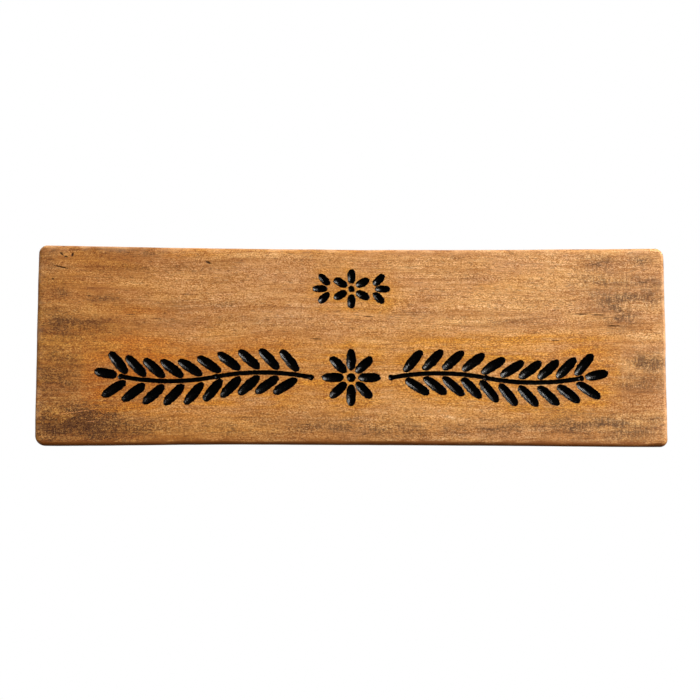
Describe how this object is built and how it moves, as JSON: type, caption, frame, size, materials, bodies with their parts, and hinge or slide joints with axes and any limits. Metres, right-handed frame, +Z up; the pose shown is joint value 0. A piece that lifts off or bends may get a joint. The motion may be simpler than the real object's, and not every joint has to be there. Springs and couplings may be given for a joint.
{
  "type": "wooden plaque",
  "caption": "Landscape solid-wood wall plaque with rounded corners and a carved, black-enamelled leaf garland and crest; a sawtooth hanger and rubber bumpers on its back.",
  "frame": {"origin": "the point on the wall straight behind the hanger's middle notch, where the wall nail bears; y = 0 is the wall, which the bumpers touch", "axes": "+Z up the wall, +X to the right as seen from the front, +Y into the wall, so the carved front faces -Y"},
  "size_m": [0.3, 0.021, 0.095],
  "materials": {
    "stained_wood": "honey-brown stain with darker patina along the edges, satin",
    "black_enamel": "brushed-on black gloss enamel over gouge marks",
    "zinc_plated_steel": "bright zinc plating",
    "black_rubber": "soft black rubber, matt",
    "adhesive_film": "pressure-sensitive adhesive"
  },
  "bodies": {
    "root": {"board": "stained_wood", "crest_rosette_enamel": "black_enamel", "crest_left_sprig_enamel": "black_enamel", "crest_right_sprig_enamel": "black_enamel", "garland_rosette_enamel": "black_enamel", "left_stem_enamel": "black_enamel", "left_leaves_enamel": "black_enamel", "right_stem_enamel": "black_enamel", "right_leaves_enamel": "black_enamel", "sawtooth_hanger": "zinc_plated_steel", "left_hanger_nail": "zinc_plated_steel", "right_hanger_nail": "zinc_plated_steel", "left_bumper": "black_rubber", "right_bumper": "black_rubber", "left_bumper_adhesive": "adhesive_film", "right_bumper_adhesive": "adhesive_film"}
  },
  "joints": []
}
